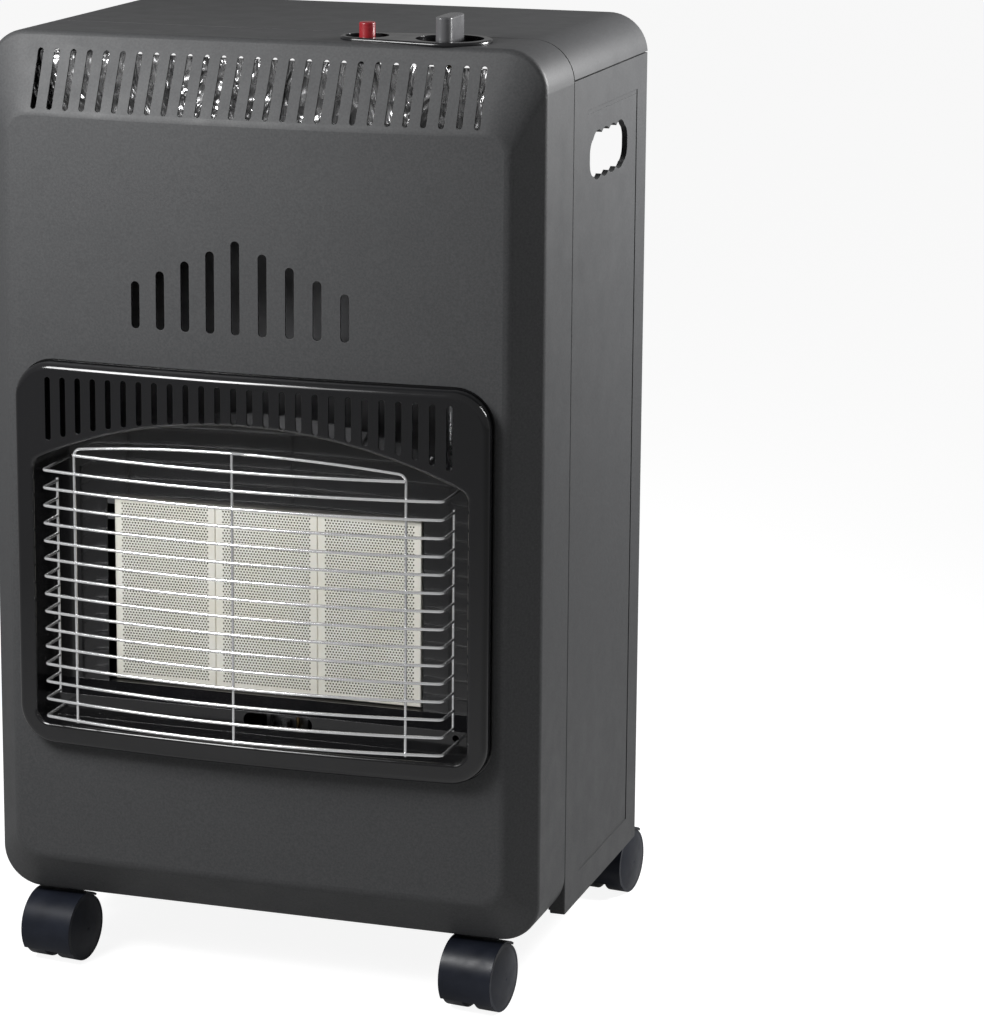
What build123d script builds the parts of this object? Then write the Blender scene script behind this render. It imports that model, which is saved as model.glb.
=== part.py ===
from build123d import *
import math
import os

# Portable gas cabinet heater, in millimetres: +X to the right, +Y to the back, +Z up.
# The sizes below count Y from the flat of the casing's front and Z from the floor.

# Front casing, one pressed shell
WIDTH = 420.0
TOP = 700.0
UNDERSIDE = 56.0
CASING_DEPTH = 85.5
CORNER_R = 30.0
SHEET = 1.2
BEVEL = 21.0            # how far every bevel falls back
BEVEL_SIDE = 21.0
BEVEL_TOP = 56.5
BEVEL_FOOT = 33.0
FACE_R = 18.0           # corners of the raised face
BOW = 8.0               # the face stands out this far in the middle
FACE_SOFT = 10.0
EDGE_SOFT = 5.0
FLANGE = 12.0           # turned-in edges of the sheets
SEAM = 1.5
CUT = 21.0              # how far a cutter reaches past the sheet that it opens

# Openings of the casing
WINDOW_W = WIDTH - 58.0
WINDOW_Z0 = 179.0
WINDOW_Z1 = 466.0
WINDOW_R = 29.0
TOP_VENT_PITCH = 12.77
TOP_VENT_EDGE = 43.9    # from the casing's side to the middle of the first slot
TOP_VENTS = 1 + int((WIDTH - 2 * TOP_VENT_EDGE) / TOP_VENT_PITCH)
TOP_VENT_W = 4.3
TOP_VENT_Z0 = TOP - 54.0
TOP_VENT_Z1 = TOP - 12.0
FAN_HALF = 4            # slots of the middle fan on each side of its long one
FAN_X = -9.6
FAN_PITCH_LEFT = 19.2
FAN_PITCH_RIGHT = 20.4
FAN_W = 6.5
FAN_Z0 = WINDOW_Z1 + 27.0
FAN_H = 67.3
FAN_STEP = 8.3

# Burner surround, enamelled sheet in the window
SURROUND_GAP = 1.1
SURROUND_T = 1.4
SURROUND_FRONT = -22.0
SURROUND_SAG = 8.0
SURROUND_BACK = 2.0
SURROUND_SOFT = 5.0
SURROUND_FLANGE_X = 2.4
SURROUND_FLANGE_Z = 8.0
RECESS_W = WINDOW_W - 32.0
RECESS_Z0 = WINDOW_Z0 + 17.0
RECESS_ARCH_Z = WINDOW_Z1 - 36.0
RECESS_ARCH_R = 380.0
RECESS_R = 10.0
RECESS_FLOOR = 20.0
LIP_SOFT = 2.5
LEDGE_Y = 8.0           # face under the burners
LEDGE_Z = RECESS_Z0 + 17.0
LEDGE_SLOPE = 20.0      # degrees from level
HOOD_SLOT_PITCH = 12.16
HOOD_SLOT_EDGE = 13.0
HOOD_SLOTS = 1 + int((RECESS_W - 2 * HOOD_SLOT_EDGE) / HOOD_SLOT_PITCH)
HOOD_SLOT_W = 4.4
HOOD_SLOT_TOP = WINDOW_Z1 - 8.0
HOOD_SLOT_TOP_DROP = 3.0
HOOD_SLOT_FOOT = RECESS_ARCH_Z + 1.0
HOOD_SLOT_FOOT_DROP = 22.5
PILOT_X = 15.0
PILOT_WINDOW_W = 53.0
PILOT_WINDOW_H = 11.0
PILOT_WINDOW_Z0 = RECESS_Z0 + 5.0
SIGHT_HOLE_X = RECESS_W / 2 - 14.5
SIGHT_HOLE_Z = RECESS_Z0 + 12.0
SIGHT_HOLE_R = 2.4

# Guard of welded wire
GUARD_TOP = RECESS_ARCH_Z - 41.0
GUARD_PITCH = 13.13
GUARD_FOOT = 9.0        # least height of the lowest wire over the recess's foot
GUARD_WIRES = 1 + int((GUARD_TOP - RECESS_Z0 - GUARD_FOOT) / GUARD_PITCH)
GUARD_HALF = RECESS_W / 2 - 13.5
GUARD_SIDE_Y = -26.0
GUARD_SAG = 17.0
GUARD_BEND = 4.0
GUARD_STUB_Y = -2.0
WIRE_D = 2.2
UPRIGHT_D = 2.0
GUARD_FLAT = 3.0        # straight length of a level wire at each upright
WELD = 0.3              # how far welded wires sink into each other
ARCH_HALF = GUARD_HALF - 31.2
ARCH_END_Z = RECESS_ARCH_Z - 22.5
ARCH_RISE = 7.9
SHORT_WIRE_Z = ARCH_END_Z - 4.9
ELBOW_R = 6.0
GUARD_HOLE_D = 3.0
GUARD_PAST = 2.0        # wire ends reach this far past the enamelled sheet
UPRIGHT_PAST = 2.0      # uprights end this far past the outer wires' middles

# Burners
PLAQUE_W = 78.6
PLAQUE_H = 138.0
PLAQUE_GAP = 0.4
PLAQUE_Z0 = LEDGE_Z + 10.0
PLAQUE_Y = RECESS_FLOOR + 6.0
PLAQUE_RIM = 4.0        # thickness of the part that lies on the burner box
PLAQUE_T = 13.0
PLAQUE_FIT = 0.2
BOX_OVER = 1.0          # burner box past the plaque, above and below
BOX_DEPTH = 28.0
BOX_T = 1.0
BURNER_HOLE_GAP = 3.6
MIX_D = 22.0
MIX_T = 1.2
MIX_BACK = 15.0         # from the burner box's front to the middle of its mixing tube
MIX_DROP = 37.0
STRAP_DROP = 18.5
STRAP_T = 1.5
STRAP_W = 8.0
JET_HEX = 11.0
JET_HEX_H = 8.0
JET_TIP_D = 6.0
JET_TIP_H = 13.0
JET_THREAD_D = 8.0
JET_THREAD_DOWN = 6.5
THREAD_FIT = 0.1
RAIL_T = 1.2
RAIL_HALF = RECESS_W / 2 - 5.0
RAIL_WEB_REACH = 12.0   # the lower rail stops before the mixing tubes
RAIL_TOP_REACH = 18.0
RAIL_H = 12.0
RAIL_TAB_GAP = 7.7

# Gas pipes
SUPPLY_D = 6.0
SUPPLY_X = (126.0, 135.0, 144.0)
SUPPLY_RUN_DROP = (22.0, 32.0, 42.0)    # level stretches under the jets
SUPPLY_BEND = 10.0
PILOT_TUBE_D = 4.0
PILOT_TUBE_X = 153.0
PILOT_TUBE_OUT = 8.0    # height of the pilot's outlet on the valve
PILOT_RUN_DROP = 53.0
LEAD_D = 3.0
LEAD_BEND = 8.0
THERMO_X = 161.0
THERMO_OUT = 22.0
THERMO_RUN_DROP = 62.0
OUTLET_D = 6.0
OUTLET_PAST = 3.0
SPARK_RUN_DROP = 70.0
SPARK_BACK = 14.0       # the spark lead runs this far behind the burner boxes
SPARK_BEND = 9.0
SPARK_HIGH = 65.0       # where the lead bends back under the igniter
SPARK_LOW = 105.0
PILOT_Y = RECESS_FLOOR + 4.0
PILOT_Z = LEDGE_Z - 23.0
PILOT_PLATE_HALF = 16.0
PILOT_PLATE_DEEP = 4.0
PILOT_PLATE_T = 1.5
PILOT_HEAD_D = 7.0
PILOT_HEAD_H = 14.0
PILOT_SLOT_W = 4.0
PILOT_SLOT_H = 4.0
PILOT_SIDE = 10.0       # thermocouple and electrode stand this far from the pilot
THERMO_TIP = 20.0
SPARK_TIP = 18.0
INLET_D = 8.0
INLET_UP = 20.0         # height of the inlet on the valve
INLET_BEND = 6.0
INLET_X = WIDTH / 2 - 28.0
TAIL_R = 4.75
TAIL_LENGTH = 26.0
TAIL_Y1 = CASING_DEPTH + 14.5
TAIL_Z = TOP - 152.0
TAIL_NUT_H = 10.0
TAIL_NUT_HEX = 15.0

# Controls on the top of the casing
KNOB_X = 130.0
BUTTON_X = 69.0
CONTROL_Y = 49.0
BEZEL_R1 = 30.0
BEZEL_R2 = 19.0
BEZEL_H = 2.5
BEZEL_SOFT = 1.6
DISH_R1 = 24.0
DISH_R2 = 15.5
DISH_T = 1.5
DISH_Z1 = TOP - 12.0
DISH_Z2 = TOP - 10.0
DISH_FIT = 0.4
STEM_D = 8.0
STEM_HOLE_D = 9.4
KNOB_R = 20.0
KNOB_CHAMFER = 1.2
KNOB_RIM_Z = TOP - 1.6
KNOB_TOP = TOP + 19.0
GRIP_W = 12.0
GRIP_L = 37.0
GRIP_SINK = 2.0
GRIP_SOFT = 1.5
KNOB_TRAVEL = 4.0
KNOB_OVER = 0.6         # left under the knob when it is pushed in
KNOB_Z0 = DISH_Z1 + KNOB_TRAVEL + KNOB_OVER
VALVE_W = 34.0
VALVE_HALF_Y = 13.0
VALVE_SOFT = 3.0
VALVE_Z0 = TOP - 60.0
VALVE_Z1 = TOP - 20.0
BRACKET_DROP = 2.7
BRACKET_IN = 3.0        # bracket narrower than the valve on each side
PLUNGER_D = 14.0
PLUNGER_Z0 = TOP - 32.0
PLUNGER_Z1 = TOP - 16.0
BORE_SPARE = 2.0        # bores run on past the pushed-in piece
BORE_Z0 = PLUNGER_Z0 - KNOB_TRAVEL - BORE_SPARE
COLLAR_D = 11.0
COLLAR_H = 1.4
STEM_TOP = TOP + 6.0
BUTTON_D = 11.5
BUTTON_SOFT = 1.2
BUTTON_TOP = TOP + 12.0
BUTTON_Z0 = TOP - 28.0
BUTTON_TRAVEL = 5.0
IGNITER_D = 18.0
IGNITER_Z0 = TOP - 60.0
IGNITER_BORE_Z0 = BUTTON_Z0 - BUTTON_TRAVEL - BORE_SPARE
SLIDE_FIT = 0.06
RUN_FIT = 0.05

# Heat shield and deflector
SHIELD_T = 0.8
SHIELD_EDGE = 6.0       # shield inside the casing's outline
SHIELD_TOP = TOP - 45.0
SHIELD_SLOTS = 8
SHIELD_SLOT_PITCH = 40.0
SHIELD_SLOT_W = 24.0
SHIELD_SLOT_H = 5.0
SHIELD_SLOT_Z = (110.0, 122.0, 134.0, 330.0, 342.0, 354.0)
HOSE_HOLE_W = 31.0
HOSE_HOLE_H = 70.0
RIVET_D = 3.0
RIVET_HEAD_D = 6.0
RIVET_HEAD_H = 0.5
RIVET_Z = (UNDERSIDE + 19.0, 215.0, 355.0, 480.0, TOP - 80.0)
DEFLECTOR_T = 0.8
DEFLECTOR_HALF = WIDTH / 2 - 15.0
DEFLECTOR_FOOT_Z = TOP - 100.0
DEFLECTOR_KNEE_Y = 33.0
DEFLECTOR_KNEE_Z = TOP - 75.0
DEFLECTOR_TOP_Y = 28.0
DEFLECTOR_TOP_Z = DISH_Z1 - 3.0
DEFLECTOR_TAB = 12.0
DEFLECTOR_CLEAR = 4.0   # round each pipe that passes through it

# Cabinet behind: sides, roof and base
CABINET_REAR = CASING_DEPTH + 196.5
SIDE_TOP = TOP - 29.0
SIDE_FOOT = UNDERSIDE + 0.5
ROOF_GAP = 1.0
SIDE_INNER = WIDTH / 2 - FLANGE
SIDE_SOFT = 1.0
REAR_RETURN = 2.0       # the castors pass behind it when the base folds
HINGE_X = SIDE_INNER
HINGE_Y = CASING_DEPTH + 6.5
HINGE_D = 4.0
KNUCKLE_D = 7.0
HINGE_HALF = 15.0
HINGE_ZS = (UNDERSIDE + 64.0, TOP - 100.0)
LEAF_T = 1.2
LEAF_W = 8.0
LEAF_NOTCH = 4.0
ARM_T = 2.0
ARM_GAP = 0.3
ARM_IN = 4.0            # from the hinge's middle to the near edge of the arm's foot
ARM_W = 10.0
FOOT_T = 1.2
FOOT_H = 24.0
BEAD_W = 3.0
BEAD_H = 0.6
BEAD_Y0 = CASING_DEPTH + 36.5
BEAD_Y1 = CABINET_REAR - 29.0
BEAD_Z0 = SIDE_FOOT + 23.5
BEAD_Z1 = SIDE_TOP - 26.0
HAND_Y0 = CASING_DEPTH + 42.5
HAND_L = 100.0
HAND_Z0 = SIDE_TOP - 74.0
HAND_H = 27.5
HAND_R = 11.0
HAND_RIM = 3.0
SCALLOPS = 4
SCALLOP_R = 18.0
SCALLOP_PITCH = 19.5
SCALLOP_UP = 14.5       # middles of the scallops over the hand hole's foot
ROOF_PIN_Y = CASING_DEPTH + 7.5
ROOF_PIN_Z = TOP - 4.0
ROOF_PIN_D = 3.0
ROOF_PIN_IN = 4.0
ROOF_PIN_OUT = 6.0
ROOF_EAR_X = WIDTH / 2 - 30.0
ROOF_EAR_T = 1.5
ROOF_EAR_L = 14.0
ROOF_EAR_R = 3.4
ROOF_LUG_R = 2.5
ROOF_LUG_T = 2.0
ROOF_LUG_Z0 = TOP - 20.0
ROOF_LUG_FOOT = 6.0
ROOF_PLATE_W = 20.0
ROOF_PLATE_TOP = TOP - 9.0
ROOF_NOTCH = 8.0
BASE_PIN_Y = CASING_DEPTH + 24.5
BASE_PIN_DROP = 3.9     # hinge pins under the folding base
BASE_PIN_D = 4.0
BASE_PIN_L = 14.0
BASE_PIN_X = 100.0
BASE_T = 1.5
BASE_Z = UNDERSIDE - 2.6    # underside of the folding base
BASE_Y0 = BASE_PIN_Y - 3.5
BASE_REAR = CABINET_REAR + 65.0
BASE_HALF = WIDTH / 2 - 20.0
BASE_CORNER = 16.0
BASE_LIP = 6.0
BASE_LIP_Y0 = BASE_PIN_Y + 8.0
BASE_LIP_Y1 = BASE_REAR - 79.0
BASE_EAR_Z0 = BASE_Z - 8.9
BASE_EAR_T = 1.5
BASE_EAR_GAP = 0.5
BASE_EAR_Y0 = 3.0       # ear before and behind the pin
BASE_EAR_Y1 = 12.0
BASE_RIB_X = (-90.0, 0.0, 90.0)
BASE_RIB_W = 10.0
BASE_RIB_H = 0.8
PLATE_T = 1.5
PLATE_Y0 = 30.0
PLATE_REAR = BASE_Y0 - 3.5

# Twin-wheel castors
FRONT_STEM_X = WIDTH / 2 - 45.5
FRONT_STEM_Y = 46.0
REAR_STEM_X = BASE_HALF - 8.0
REAR_STEM_Y = BASE_REAR - 16.0
CASTOR_TWIST = 7.0
WHEEL_R = 25.0
WHEEL_W = 17.6
WHEEL_GAP = 2.2         # from the middle of the castor to each wheel
WHEEL_CHAMFER_W = 3.0
WHEEL_CHAMFER_H = 5.0
DOME_H = 2.2
DOME_R = 22.5
AXLE_D = 6.0
AXLE_IN_WHEEL = 15.0
HOOD_R = 27.0
HOOD_T = 1.5
HOOD_HALF = 20.5
HOOD_FRONT = 33.0       # degrees below level where the hood ends at the front
HOOD_REAR = 125.0       # degrees from the front where it ends at the back
WEB_T = 3.4
WEB_R = 24.0
TRAIL = 16.5
BOSS_D = 15.0
BOSS_Z0 = 26.0
STEM_SHAFT_D = 8.0
STEM_SHAFT_Z0 = 42.0
COLLAR_GAP = 0.3
STEM_COLLAR_D = 14.0
SOCKET_D = 13.0
SOCKET_H = 10.0
SOCKET_FLANGE_D = 20.0
SOCKET_FLANGE_H = 1.5

# Values that follow from the ones above
BOW_R = (((WIDTH / 2 - BEVEL_SIDE) ** 2) + BOW ** 2) / (2 * BOW)
SURROUND_R = ((RECESS_W / 2) ** 2 + SURROUND_SAG ** 2) / (2 * SURROUND_SAG)
GUARD_R = (GUARD_HALF ** 2 + GUARD_SAG ** 2) / (2 * GUARD_SAG)
GUARD_FRONT = GUARD_SIDE_Y - GUARD_SAG
PLAQUE_Z1 = PLAQUE_Z0 + PLAQUE_H
BOX_Z0 = PLAQUE_Z0 - BOX_OVER
BOX_Z1 = PLAQUE_Z1 + BOX_OVER
BOX_Y0 = PLAQUE_Y + PLAQUE_RIM
BOX_REAR = BOX_Y0 + BOX_DEPTH
BURNERS_HALF = 1.5 * PLAQUE_W + PLAQUE_GAP
MIX_Y = BOX_Y0 + MIX_BACK
MIX_Z0 = BOX_Z0 - MIX_DROP
STRAP_Z = MIX_Z0 - STRAP_DROP
JET_Z0 = STRAP_Z - JET_THREAD_DOWN
JET_Z1 = STRAP_Z + STRAP_T + JET_HEX_H
VALVE_Y0 = CONTROL_Y - VALVE_HALF_Y
VALVE_Y1 = CONTROL_Y + VALVE_HALF_Y
VALVE_SIDE = KNOB_X + VALVE_W / 2
INLET_Y = VALVE_Y1 - INLET_D
BASE_PIN_Z = BASE_Z - BASE_PIN_DROP
CABINET_FRONT = CASING_DEPTH + SEAM
SHIELD_REAR = CASING_DEPTH + SHIELD_T
MIDDLE_Z = (UNDERSIDE + TOP) / 2
TALL = 2 * TOP          # longer than anything it cuts


def across(y):
    """A plane that faces the front, with X to the right and Z up."""
    return Plane(origin=(0, y, 0), x_dir=(1, 0, 0), z_dir=(0, -1, 0))


def upright(width, z0, z1, radius):
    return Pos(0, (z0 + z1) / 2) * RectangleRounded(width, z1 - z0, radius)


def slab(outline, y0, y1):
    return extrude(across(y1) * outline, amount=y1 - y0)


def block(x0, x1, y0, y1, z0, z1):
    return Pos((x0 + x1) / 2, (y0 + y1) / 2, (z0 + z1) / 2) * Box(x1 - x0, y1 - y0, z1 - z0)


def post(x, y, z0, z1, d):
    return Pos(x, y, (z0 + z1) / 2) * Cylinder(d / 2, z1 - z0)


def bar(x0, x1, y, z, d):
    return Pos((x0 + x1) / 2, y, z) * Rot(0, 90, 0) * Cylinder(d / 2, x1 - x0)


def rod(x, y0, y1, z, d):
    return Pos(x, (y0 + y1) / 2, z) * Rot(90, 0, 0) * Cylinder(d / 2, y1 - y0)


def drum(front, radius):
    """An upright cylinder whose foremost line lies at this Y."""
    return Pos(0, front + radius, MIDDLE_Z) * Cylinder(radius, TALL)


def mirrored(shape):
    return mirror(shape, about=Plane.YZ)


def both(shape):
    return [shape, mirrored(shape)]


def strip(points, thickness, x0, x1):
    """A bent sheet: a line in Y and Z with its thickness on the left, drawn out along X."""
    flat = [Vector(y, z) for y, z in points]
    normals = []
    for a, b in zip(flat, flat[1:]):
        d = (b - a).normalized()
        normals.append(Vector(-d.Y, d.X))
    shifted = [flat[0] + normals[0] * thickness]
    for i in range(1, len(flat) - 1):
        n = (normals[i - 1] + normals[i]).normalized()
        shifted.append(flat[i] + n * (thickness / n.dot(normals[i])))
    shifted.append(flat[-1] + normals[-1] * thickness)
    ring = [(p.X, p.Y) for p in flat] + [(p.X, p.Y) for p in reversed(shifted)]
    side = Plane(origin=(x0, 0, 0), x_dir=(0, 1, 0), z_dir=(1, 0, 0))
    return extrude(side * make_face(Polyline(*ring, close=True)), amount=x1 - x0)


def pipe(points, bend, d):
    """A round rod or lead through points, with rounded bends."""
    path = FilletPolyline(*points, radius=bend) if len(points) > 2 else Polyline(*points)
    start = Plane(origin=path @ 0, z_dir=path % 0)
    return sweep(start * Circle(d / 2), path=path)


def front_face(solid):
    return min(solid.faces(), key=lambda f: f.center().Y)


def round_trip(face):
    """A face's edges with the way each lies from its middle, the outline taken as square."""
    box = face.bounding_box()
    middle = box.center()
    return [(math.atan2((e.center().Z - middle.Z) / box.size.Z,
                        (e.center().X - middle.X) / box.size.X), e) for e in face.edges()]


def casing_form(inset, rear, face_soft, edge_soft):
    """The casing's outer form, or the hollow in it when inset is the sheet's thickness."""
    slope = inset * math.tan(math.radians(22.5))
    foot = BEVEL + slope
    body = upright(WIDTH - 2 * inset, UNDERSIDE + inset, TOP - inset, CORNER_R - inset)
    body = slab(body, foot, rear)
    face_z1 = TOP - BEVEL_TOP - slope / 2
    face_z0 = UNDERSIDE + BEVEL_FOOT + slope / 2
    face = upright(WIDTH - 2 * (BEVEL_SIDE + slope), face_z0, face_z1, FACE_R)
    cap = slab(face, foot - WIDTH, foot) & drum(-BOW + inset, BOW_R - inset)
    raised = front_face(cap)
    rim = round_trip(front_face(body))
    bevels = []
    for way, edge in round_trip(raised):
        mate = min(rim, key=lambda pair: abs(pair[0] - way))[1]
        bevels.append(Face.make_surface_from_curves(mate, edge))
    sides = [f for f in body.faces() if f.center().Y > foot + 0.01]
    form = Solid(Shell([raised] + bevels + sides))
    form = fillet([e for e in form.edges() if e.bounding_box().max.Y < foot / 2], face_soft)
    bends = [e for e in form.edges() if e.bounding_box().size.Y < 0.01
             and abs(e.center().Y - foot) < 0.01]
    return fillet(bends, edge_soft)


def row(count, pitch, shape_at):
    """Shapes along X, evenly spaced about the middle."""
    return [shape_at((i - (count - 1) / 2) * pitch) for i in range(count)]


def slot(x, z0, z1, width, y0, y1):
    return slab(Pos(x, (z0 + z1) / 2) * SlotOverall(z1 - z0, width, rotation=90), y0, y1)


def fan_slots():
    made = []
    for k in range(-FAN_HALF, FAN_HALF + 1):
        pitch = FAN_PITCH_LEFT if k < 0 else FAN_PITCH_RIGHT
        top = FAN_Z0 + FAN_H - FAN_STEP * abs(k)
        made.append(slot(FAN_X + k * pitch, FAN_Z0, top, FAN_W, -CUT, CUT))
    return made


def castor_stems():
    return [(x, FRONT_STEM_Y) for x in (-FRONT_STEM_X, FRONT_STEM_X)]


def front_casing():
    outer = casing_form(0, CASING_DEPTH, FACE_SOFT, EDGE_SOFT)
    inner = casing_form(SHEET, CASING_DEPTH - SHEET, FACE_SOFT - SHEET, EDGE_SOFT - SHEET)
    rear = upright(WIDTH - 2 * FLANGE, UNDERSIDE + FLANGE, TOP - FLANGE, CORNER_R - FLANGE)
    cuts = [slab(rear, CASING_DEPTH - 2 * SHEET, CASING_DEPTH + SHEET)]
    cuts.append(slab(upright(WINDOW_W, WINDOW_Z0, WINDOW_Z1, WINDOW_R), -CUT, CUT))
    cuts += row(TOP_VENTS, TOP_VENT_PITCH,
                lambda x: slot(x, TOP_VENT_Z0, TOP_VENT_Z1, TOP_VENT_W, -CUT, BEVEL + EDGE_SOFT))
    cuts += fan_slots()
    for x, radius in ((KNOB_X, DISH_R1), (BUTTON_X, DISH_R2)):
        hole = 2 * (radius + DISH_T + DISH_FIT)
        cuts.append(post(x, CONTROL_Y, TOP - 2 * SHEET, TOP + SHEET, hole))
    for x, y in castor_stems():
        hole = SOCKET_D + 2 * DISH_FIT
        cuts.append(post(x, y, UNDERSIDE - SHEET, UNDERSIDE + 2 * SHEET, hole))
    for z in RIVET_Z:
        for x in (-1, 1):
            centre = x * (WIDTH / 2 - SHIELD_EDGE - RIVET_HEAD_D / 2)
            cuts.append(rod(centre, CASING_DEPTH - 2 * SHEET, CASING_DEPTH + SHEET, z,
                            RIVET_D + THREAD_FIT))
    return outer - inner - cuts


def recess(grow):
    """The outline of the burner recess: a rectangle with an arched top."""
    half = RECESS_W / 2 + grow
    radius = RECESS_ARCH_R + grow
    centre = RECESS_ARCH_Z - RECESS_ARCH_R
    z0 = RECESS_Z0 - grow
    z1 = centre + math.sqrt(radius ** 2 - half ** 2)
    sides = Polyline((half, z1), (half, z0), (-half, z0), (-half, z1))
    arch = ThreePointArc((-half, z1), (0, centre + radius), (half, z1))
    face = make_face([sides, arch])
    return fillet(face.vertices(), RECESS_R + grow)


def ledge(drop):
    """What stays solid under the burners: a step with a sloping top."""
    foot = RECESS_Z0 - 2 * SURROUND_FLANGE_Z
    y0 = LEDGE_Y + drop
    y1 = RECESS_FLOOR + drop
    z = LEDGE_Z - drop * math.tan(math.radians(LEDGE_SLOPE))
    top = BOX_Z0 - drop * math.tan(math.radians(LEDGE_SLOPE))
    ring = [(y0, foot), (y0, z), (y1, top), (y1 + CUT, top), (y1 + CUT, foot)]
    side = Plane(origin=(-WIDTH / 2, 0, 0), x_dir=(0, 1, 0), z_dir=(1, 0, 0))
    return extrude(side * make_face(Polyline(*ring, close=True)), amount=WIDTH)


def surround_form(inset, lip):
    """The solid in front of the enamelled sheet's inner or outer skin, with the recess in it."""
    ahead = SURROUND_FRONT - CUT
    outline = upright(WINDOW_W - 2 * (SURROUND_GAP + inset), WINDOW_Z0 + SURROUND_GAP + inset,
                      WINDOW_Z1 - SURROUND_GAP - inset, WINDOW_R - SURROUND_GAP - inset)
    body = slab(outline, ahead, SURROUND_BACK + inset) & drum(SURROUND_FRONT + inset,
                                                              SURROUND_R - inset)
    body = fillet(front_face(body).edges(), SURROUND_SOFT - inset)
    body -= slab(recess(inset), ahead, RECESS_FLOOR)
    rim = [e for e in front_face(body).inner_wires()[0].edges()]
    return fillet(rim, lip)


def hood_slots():
    made = []
    half = (HOOD_SLOTS - 1) / 2 * HOOD_SLOT_PITCH
    foot_r = (half ** 2 + HOOD_SLOT_FOOT_DROP ** 2) / (2 * HOOD_SLOT_FOOT_DROP)
    for i in range(HOOD_SLOTS):
        x = i * HOOD_SLOT_PITCH - half
        foot = HOOD_SLOT_FOOT - foot_r + math.sqrt(foot_r ** 2 - x ** 2)
        top = HOOD_SLOT_TOP - HOOD_SLOT_TOP_DROP * (x / half) ** 2
        made.append(slot(x, foot, top, HOOD_SLOT_W, SURROUND_FRONT - CUT, -BOW))
    return made


def guard_wire_z():
    return [GUARD_TOP - i * GUARD_PITCH for i in range(GUARD_WIRES)]


def burner_surround():
    skin = surround_form(0, LIP_SOFT)
    hollow = surround_form(SURROUND_T, LIP_SOFT + SURROUND_T)
    shell = skin - hollow
    cup = slab(recess(SURROUND_T), 0, RECESS_FLOOR + SURROUND_T) - ledge(SURROUND_T)
    cup -= slab(recess(0), -CUT, RECESS_FLOOR) - ledge(0)
    rear = upright(WINDOW_W + 2 * SURROUND_FLANGE_X, WINDOW_Z0 - SURROUND_FLANGE_Z,
                   WINDOW_Z1 + SURROUND_FLANGE_Z, WINDOW_R)
    hole = upright(WINDOW_W - 2 * (SURROUND_GAP + SURROUND_T), WINDOW_Z0 + SURROUND_GAP + SURROUND_T,
                   WINDOW_Z1 - SURROUND_GAP - SURROUND_T, WINDOW_R - SURROUND_GAP - SURROUND_T)
    behind = -BOW + SHEET + RUN_FIT
    flange = slab(rear, -CUT, CUT) & drum(behind, BOW_R - SHEET - RUN_FIT)
    flange = flange - drum(behind + SURROUND_T, BOW_R - SHEET - RUN_FIT - SURROUND_T)
    flange -= slab(hole, -CUT, CUT)
    half = BURNERS_HALF + BURNER_HOLE_GAP
    opening = block(-half, half, LEDGE_Y, RECESS_FLOOR + CUT, BOX_Z0,
                    PLAQUE_Z1 + BURNER_HOLE_GAP)
    cuts = [opening] + hood_slots()
    middle = PILOT_WINDOW_Z0 + PILOT_WINDOW_H / 2
    window = Pos(PILOT_X, middle) * SlotOverall(PILOT_WINDOW_W, PILOT_WINDOW_H)
    cuts.append(slab(window, 0, RECESS_FLOOR))
    cuts.append(rod(SIGHT_HOLE_X, 0, RECESS_FLOOR, SIGHT_HOLE_Z, 2 * SIGHT_HOLE_R))
    for z in (guard_wire_z()[0], guard_wire_z()[-1]):
        for x in (-GUARD_HALF, GUARD_HALF):
            cuts.append(rod(x, 0, RECESS_FLOOR + CUT, z, GUARD_HOLE_D))
    return shell + cup + flange - cuts


def guard_depth(x):
    """Y of the level wires' centre line at this X, inside the outer uprights."""
    bowed = max(abs(x) - GUARD_FLAT / 2, 0)
    return GUARD_FRONT + GUARD_R - math.sqrt(GUARD_R ** 2 - bowed ** 2)


def bent_wire(start, heading, steps, d):
    """A round wire: each (length, 0) runs straight and each (radius, angle) turns."""
    at, way, edges = Vector(*start), Vector(*heading), []
    for size, angle in steps:
        piece = JernArc(at, way, size, angle) if angle else Line(at, at + way * size)
        at, way = piece @ 1, piece % 1
        edges.append(piece.edge())
    path = Wire(edges)
    return sweep(Plane(origin=path @ 0, z_dir=path % 0) * Circle(d / 2), path=path)


def guard_lean(x):
    """The level wires' heading where they cross an upright at this X, straight for a bit."""
    flat = GUARD_FLAT / 2
    lean = math.asin((x - flat) / math.hypot(GUARD_R, flat)) - math.atan2(flat, GUARD_R)
    return math.degrees(lean)


def guard_wire(z, rear, upright_x):
    """A level wire, bowed between the uprights, with both ends bent straight back."""
    lean = guard_lean(upright_x)
    run = GUARD_FLAT * (1 / 2 + math.cos(math.radians(lean)))
    end = math.degrees(math.asin((GUARD_HALF - GUARD_BEND - run) / (GUARD_R - GUARD_BEND)))
    front = (GUARD_FRONT + GUARD_FLAT * math.sin(math.radians(lean)) + GUARD_R
             - (GUARD_R - GUARD_BEND) * math.cos(math.radians(end)))
    out = [(rear - front, 0), (GUARD_BEND, 90 - end), (GUARD_R, end - lean), (GUARD_FLAT, 0),
           (GUARD_R, lean)]
    return bent_wire((-GUARD_HALF, rear, z), (0, -1), out + [(GUARD_FLAT, 0)] + out[::-1],
                     WIRE_D)


def short_wire(z, upright_x):
    """The level wire above the others, which ends on the outer uprights."""
    lean = guard_lean(upright_x)
    turn = math.radians(lean)
    start = (-upright_x, guard_depth(upright_x), z)
    half = [(GUARD_FLAT / 2, 0), (GUARD_R, lean)]
    return bent_wire(start, (math.cos(turn), -math.sin(turn)),
                     half + [(GUARD_FLAT, 0)] + half[::-1], WIRE_D)


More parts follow.
